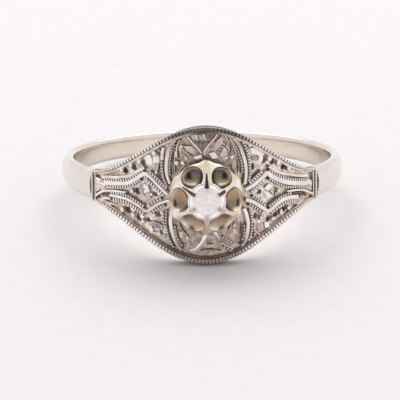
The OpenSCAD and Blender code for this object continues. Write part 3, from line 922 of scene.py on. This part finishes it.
def make_ribbons(tooth):
    """The polished faces, the strips and ridges beside them, and the rows of fine cuts between."""
    faces = []
    for name, places in POLISHED_FACES.items():
        faces += ribbons([places], FACE_HALVES.get(name, HOOP_HALF), FACE_TOP)
    strips = ribbons(PLAIN_STRIPS, PLAIN_HALF, STRIP_TOP) + ribbons(NARROW_STRIPS, NARROW_HALF, STRIP_TOP)
    ridges = ribbons(FINE_RIDGES, RIDGE_HALF, RIDGE_TOP)
    pitch, slant = 0.185, math.radians(12)
    channels, teeth = [], []
    for places, half in CUT_ROWS:
        line = sheet_path(places)
        channels.append(wire("channel", line, square_section(half + 0.01, ORNAMENT_FOOT, CUT_FLOOR)))
        teeth += row_of_teeth(tooth, line, pitch, (0.052, half, 0.06), slant)
    put_on_head(faces, "polished_ribbons", ribbon_metal)
    put_on_head(strips, "plain_strips", cream_metal)
    put_on_head(ridges, "fine_ridges", ridge_metal)
    # The channels under the rows of cuts are painted dark: painted shade.
    put_on_head(channels, "ribbon_channels", dark_metal)
    put_on_head(teeth, "ribbon_milgrain", ribbon_milgrain_metal, clean=False)


def make_lower_ridges():
    """Two bright leaf-shaped ridges that run down from the crown, in the bright tone of the cuts: a painted
    highlight.
    """
    ridges = []
    for places, half, last in LEAVES:
        ridges.append(wire("leaf", sheet_path(places), ribbon_section(half, LEAF_TOP),
                           swell=lambda t: 1 - (1 - last) * t ** 1.5))
    put_on_head(ridges, "lower_ridges", cut_metals["bright"])


def make_grains():
    """Low round buttons, bright on top, with their feet painted darker as painted shade."""
    bpy.ops.object.select_all(action="DESELECT")
    bpy.ops.mesh.primitive_cylinder_add(vertices=16, radius=1, depth=2)
    grain = newly_made("grain")
    edit(grain)
    bpy.ops.mesh.bevel(offset=0.5, segments=3)
    bpy.ops.mesh.bisect(plane_co=(0, 0, -0.45), plane_no=(0, 0, 1), clear_inner=True, use_fill=False)
    edit_done()
    level, half_high, larger = 9.3, 0.14, 0.02
    grains = [copy_of(grain, on_sheet(Vector((x, h)), level, 0, (wide + larger, tall + larger, half_high)))
              for x, h, wide, tall in GRAINS]
    discard(grain)
    put_on_head(grains, "raised_grains", grain_metal, smooth=60, clean=False)


def make_hollows():
    """Sickle-shaped hollows at the seam ends, narrow at both tips."""
    section = [(-0.15, 9.1), (-0.13, 9.3), (-0.05, 9.2), (0.05, 9.2), (0.13, 9.3), (0.15, 9.1)]
    hollows = [wire("hollow", sheet_path(places), section, swell=lambda t: 0.3 + 0.7 * math.sin(math.pi * t))
               for places in HOLLOWS]
    # The hollows are painted dark brown: painted shade.
    put_on_head(hollows, "sickle_hollows", hollow_metal)


def make_bright_cuts():
    """Small flats, each leaning its own way, so that each takes its own light. Each is also painted in its
    own tone: bright and pale tones are painted highlights, warm and slate tones painted darker reflections.
    """
    half_thick, rounding, level = 0.085, 0.015, 9.24
    flats = {tone: [] for tone in cut_metals}
    for corners, side, up, tone in BRIGHT_CUTS:
        corners = [Vector(corner) for corner in corners]
        middle = sum(corners, Vector((0, 0))) / len(corners)
        cut = sawn("flat", [[corner - middle for corner in corners]], half_thick, rounding)
        cut.data.transform(on_sheet(middle, level) @ Matrix.Rotation(math.radians(side), 4, "Y")
                           @ Matrix.Rotation(math.radians(-up), 4, "X"))
        flats[tone].append(cut)
    for tone, group in flats.items():
        put_on_head(group, tone + "_cuts", cut_metals[tone], smooth=5)


def make_seam_bars(tooth):
    """At each seam, a plain bar and a column of milgrain in a channel painted dark, a painted shade."""
    bar_half, bar_top, channel_floor = 0.045, 9.36, 9.26
    bars, channels, teeth = [], [], []
    for side, teeth_at, pitch, bar_at, channel_from in SEAMS:
        channel_half = (SEAM_CHANNEL_X - channel_from) / 2
        for group, x, half, level in ((bars, bar_at, bar_half, bar_top),
                                      (channels, SEAM_CHANNEL_X - channel_half, channel_half, channel_floor)):
            line = [Vector((side * x, z)) for z in (-SEAM_HALF, -.5, 0, .5, SEAM_HALF)]
            group.append(wire("bar", line, square_section(half, SEAM_FOOT, level)))
        line = [Vector((side * teeth_at, z / 20)) for z in range(-20, 21)]
        teeth += row_of_teeth(tooth, line, pitch, (0.4 * pitch, 0.07, 0.1))
    put_on_head(bars, "seam_bars", cream_metal, smooth=40)
    put_on_head(channels, "seam_channels", dark_metal, smooth=40)
    put_on_head(teeth, "seam_milgrain", grain_metal, smooth=40, clean=False)


# The crown and the stone, modelled with their tops towards +Z

ON_CROWN = Matrix.Rotation(math.pi / 2, 4, "X")
# The scoops between the ridges: (turn in degrees, breadth as a share of the widest)
SCOOPS = ((0, 1), (56, 0.86), (122, 0.93), (180, 1), (240, 1), (300, 1))
# The flats on the claws, painted dark as painted reflection: (turn in degrees, the foot's distance from the
# middle, its level)
CLAW_FLATS = ((30, 1.3, 10.99), (90, 1.7, 10.69), (150, 1.7, 10.69), (210, 1.2, 11.07), (270, 1.2, 11.07),
              (330, 1.3, 10.99))


def turned(name, profile, steps):
    """Spins a closed profile of (distance, level) places round the middle of the crown."""
    piece = stand_up(as_mesh(drawing(name, [profile], True), name))
    edit(piece)
    bpy.ops.mesh.spin(steps=steps, angle=2 * math.pi, center=(0, 0, 0), axis=(0, 0, 1))
    edit_done()
    clean_mesh(piece)
    return piece


def turned_ring(name, middle, level, halves, material, node):
    """A ring with an oval section."""
    turns = [math.radians(22.5 * i) for i in range(16)]
    ring = turned(name, [(middle + halves[0] * math.cos(t), level + halves[1] * math.sin(t)) for t in turns],
                  96)
    ring.data.transform(ON_CROWN)
    finish_piece(ring, material, node, smooth=60)


def make_crown():
    """A turned cup, drawn out a little at six ridges and scooped out between them."""
    lip = RIM_R + 0.3
    foot = RIM_R + 0.03
    cup = turned("fluted_crown", [
        (TUBE_R, foot), (2.0, foot), (CROWN_R, lip), (CROWN_R - 0.03, lip + 0.12),
        (CROWN_R - 0.14, lip + 0.22), (GIRDLE_R + 0.14, GIRDLE_LEVEL + 0.04),
        (GIRDLE_R + 0.04, GIRDLE_LEVEL + 0.05),
        (GIRDLE_R + 0.02, GIRDLE_LEVEL - 0.1), (TUBE_R, GIRDLE_LEVEL - 0.6)], 180)
    lobes_from = 1.5
    flute_in, ridge_out, ridge_breadth = 0.03, 0.085, 8
    for vertex in cup.data.vertices:
        reach = math.hypot(vertex.co.x, vertex.co.y)
        if reach > lobes_from:
            swing = abs(math.cos(3 * math.atan2(vertex.co.y, vertex.co.x)))
            off_ridge = math.degrees(math.asin(swing)) / 3
            lobe = flute_in * (swing - 1) + ridge_out * math.exp(-(off_ridge / ridge_breadth) ** 2)
            lobe = 1 + lobe * (reach - lobes_from) / (CROWN_R - lobes_from)
            vertex.co.x *= lobe
            vertex.co.y *= lobe
    lean = math.atan2(FLANK_WAY[0], FLANK_WAY[1]) + math.radians(8)
    middle = Vector((FLANK_MID[0] + 0.06, 0, FLANK_MID[1] + 0.14))
    half_long, half_broad, half_deep, flare = 0.90, 0.84, 0.64, 0.18
    bpy.ops.object.select_all(action="DESELECT")
    bpy.ops.mesh.primitive_uv_sphere_add(segments=48, ring_count=24, radius=1)
    scoop = settle(newly_made("scoop"))
    for vertex in scoop.data.vertices:
        vertex.co.y *= 1 + flare * vertex.co.x
    scoops = []
    for turn, broad in SCOOPS:
        scoops.append(copy_of(scoop, Matrix.Rotation(math.radians(turn), 4, "Z") @ Matrix.Translation(middle)
                              @ Matrix.Rotation(lean, 4, "Y")
                              @ Matrix.Diagonal((half_long, half_broad * broad, half_deep, 1))))
    discard(scoop)
    cutter = joined(scoops, "scoops")
    applied(cup, "BOOLEAN", operation="DIFFERENCE", object=cutter, solver="EXACT", use_self=True)
    discard(cutter)
    cup.data.transform(ON_CROWN)
    finish_piece(cup, crown_metal, "claw_crown", smooth=35)


def make_collar():
    """The short tube that carries the crown and passes through the plate."""
    foot, top = PLATE_IN + 0.02, RIM_R + 0.06
    collar = turned("collar", [(TUBE_R, foot), (COLLAR_R - 0.04, foot), (COLLAR_R, foot + 0.04),
                               (COLLAR_R, top), (TUBE_R, top)], 64)
    collar.data.transform(ON_CROWN)
    finish_piece(collar, crown_metal, "claw_crown", smooth=35)


def make_seat_ring():
    """The bright rounded ring that holds the edge of the stone."""
    turned_ring("seat_ring", GIRDLE_R + 0.07, GIRDLE_LEVEL + 0.04, (0.06, 0.09), ribbon_metal,
                "claw_crown")


def make_girdle():
    """The frosted edge of the stone, seen as a white ring that glows a little: painted glow."""
    turned_ring("frosted_girdle", GIRDLE_R - 0.08, GIRDLE_LEVEL + 0.06, (0.08, 0.06), girdle_material,
                "diamond")


def claw_rod(name, foot, tip, broad_foot, broad_tip, thick):
    """A rod with rounded edges, laid along the slope between two (distance, level) places."""
    way = Vector((tip[0] - foot[0], 0, tip[1] - foot[1]))
    middle = Vector(((tip[0] + foot[0]) / 2, 0, (tip[1] + foot[1]) / 2))
    bpy.ops.object.select_all(action="DESELECT")
    bpy.ops.mesh.primitive_cube_add(size=2)
    rod = newly_made(name)
    edit(rod)
    bpy.ops.mesh.subdivide(number_cuts=2)
    bpy.ops.mesh.bevel(offset=0.12, segments=2)
    edit_done()
    for vertex in rod.data.vertices:
        broad = broad_foot + (broad_tip - broad_foot) * (vertex.co.z + 1) / 2
        vertex.co = (vertex.co.x * thick, vertex.co.y * broad, vertex.co.z * way.length / 2)
    rod.data.transform(Matrix.Translation(middle) @ Matrix.Rotation(math.atan2(way.x, way.z), 4, "Y"))
    return rod


def make_claws():
    """Six bright claws on the ridges. Each carries a flat on top, painted dark as a painted reflection,
    longer on some than on others.
    """
    foot, tip = (2.02, 10.43), (0.9, 11.27)
    bright = claw_rod("claw", foot, tip, 0.07, 0.19, 0.09)
    claws = [copy_of(bright, Matrix.Rotation(math.radians(60 * k + 30), 4, "Z")) for k in range(6)]
    discard(bright)
    flats = []
    flat_tip = (0.91, 11.32)
    for turn, distance, level in CLAW_FLATS:
        foot_broad = 0.05 if distance > 1.5 else 0.1
        # The flat is painted darker than the claw: painted reflection.
        worn = claw_rod("flat", (distance + 0.03, level + 0.04), flat_tip, foot_broad, 0.12, 0.08)
        flats.append(copy_of(worn, Matrix.Rotation(math.radians(turn), 4, "Z")))
        discard(worn)
    for group, name, material in ((claws, "six_claws", bright_claw_metal),
                                  (flats, "claw_flats", claw_flat_reflection_metal)):
        piece = joined(group, name)
        clean_mesh(piece)
        piece.data.transform(ON_CROWN)
        finish_piece(piece, material, "claw_crown", smooth=50)


def make_stone():
    """An old-cut stone, built from its corners and closed by their hull."""
    # Rings of corners: (distance from the middle, height over the girdle, corners, turn in degrees)
    rings = [(0.66, TABLE_H - 0.01, 8, 22.5), (0.9, 0.17, 8, 0), (GIRDLE_R - 0.01, 0.03, 16, 0),
             (GIRDLE_R - 0.01, -0.03, 16, 0), (0.5, -0.45, 8, 22.5), (0.1, -CULET_H + 0.02, 8, 22.5)]
    corners = []
    for radius, height, count, turn in rings:
        bpy.ops.object.select_all(action="DESELECT")
        bpy.ops.mesh.primitive_circle_add(vertices=count, radius=radius, rotation=(0, 0, math.radians(turn)),
                                          location=(0, 0, GIRDLE_LEVEL + height))
        corners.append(settle(newly_made("ring of corners")))
    stone = joined(corners, "old_cut_diamond")
    edit(stone)
    bpy.ops.mesh.convex_hull()
    edit_done()
    stone.data.transform(ON_CROWN)
    finish_piece(stone, stone_material, "diamond", smooth=1)


make_band()
tooth = milgrain_tooth()
make_plate()
make_border()
make_border_milgrain(tooth)
make_ribbons(tooth)
make_lower_ridges()
make_grains()
make_hollows()
make_bright_cuts()
make_seam_bars(tooth)
discard(tooth)
make_crown()
make_collar()
make_seat_ring()
make_claws()
make_stone()
make_girdle()


# Floor, light and camera

def aim(thing, place, target=(0, 0, 0)):
    """Puts a lamp, a card or the camera at its place and turns it to its target, or else to the ring."""
    thing.location = place
    thing.rotation_euler = (Vector(target) - Vector(place)).to_track_quat("-Z", "Y").to_euler()


def make_floor():
    """Pale paper with faint fibres."""
    bpy.ops.object.select_all(action="DESELECT")
    bpy.ops.mesh.primitive_plane_add(size=3.0)
    floor = newly_made("floor")
    material, tree, shader = new_material("Pale paper", {"Roughness": 0.7, "Specular IOR Level": 0.2})
    place = new_node(tree, "ShaderNodeTexCoord")
    fibres = new_node(tree, "ShaderNodeTexNoise", {"Scale": 900})
    tone = new_node(tree, "ShaderNodeValToRGB")
    tone.color_ramp.elements[0].color = (0.80, 0.775, 0.775, 1)
    tone.color_ramp.elements[1].color = (0.85, 0.825, 0.825, 1)
    link(tree, place.outputs["Object"], fibres.inputs["Vector"])
    link(tree, fibres.outputs["Fac"], tone.inputs["Fac"])
    link(tree, tone.outputs["Color"], shader.inputs["Base Color"])
    floor.data.materials.append(material)


def make_light(name, place, size, power):
    lamp = bpy.data.lights.new(name, "AREA")
    lamp.shape = "RECTANGLE"
    lamp.size, lamp.size_y = size
    lamp.energy = power
    piece = bpy.data.objects.new(name, lamp)
    aim(piece, place)
    bpy.context.scene.collection.objects.link(piece)


def make_card(name, place, size):
    """A dark card, out of the camera's view, for the metal to mirror."""
    bpy.ops.object.select_all(action="DESELECT")
    bpy.ops.mesh.primitive_plane_add(size=1.0, location=place)
    card = newly_made(name)
    card.scale = (size[0], size[1], 1)
    aim(card, place)
    card.data.materials.append(new_material(name, {"Base Color": (0.05, 0.05, 0.05, 1)})[0])


def make_camera():
    """A long lens, 220 mm from the ring, as far round and above it as in the photograph."""
    distance = 220.0
    round_by, above = math.radians(-1.5), math.radians(11.6)
    ahead = math.cos(above)
    away = Vector((math.sin(round_by) * ahead, -math.cos(round_by) * ahead, math.sin(above)))
    centre = LAID_DOWN @ Vector((0, 0, 0))
    place = LAID_DOWN @ (away * distance)
    look = (centre - place).normalized()
    right = look.cross(Vector((0, 0, 1))).normalized()
    up = right.cross(look)
    # The middle of the picture lies a little left of the ring's middle and under it, in metres
    left_by, under_by = 0.00014, 0.002236
    target = centre - right * left_by - up * under_by
    picture_side, pixels_per_mm, sensor = 400, 14.98, 36
    lens = bpy.data.cameras.new("Long lens")
    lens.sensor_width = sensor
    lens.lens = pixels_per_mm * distance / picture_side * sensor
    lens.clip_start = 0.01
    lens.clip_end = 10
    camera = bpy.data.objects.new("Long lens", lens)
    aim(camera, place, target)
    bpy.context.scene.collection.objects.link(camera)
    bpy.context.scene.camera = camera


make_floor()
make_light("Soft box behind", (0.0, 0.45, 0.6), (1.0, 0.6), 3.45)
make_card("Dark card above", (0.0, -0.37, 0.45), (0.46, 0.42))
make_card("Dark card behind the camera", (0.0, -0.52, 0.25), (0.34, 0.34))
world = bpy.data.worlds.new("Soft room")
world.use_nodes = True
world.node_tree.nodes["Background"].inputs["Color"].default_value = (0.97, 0.96, 0.97, 1)
world.node_tree.nodes["Background"].inputs["Strength"].default_value = 0.915
bpy.context.scene.world = world
bpy.context.scene.view_settings.view_transform = "Standard"
make_camera()
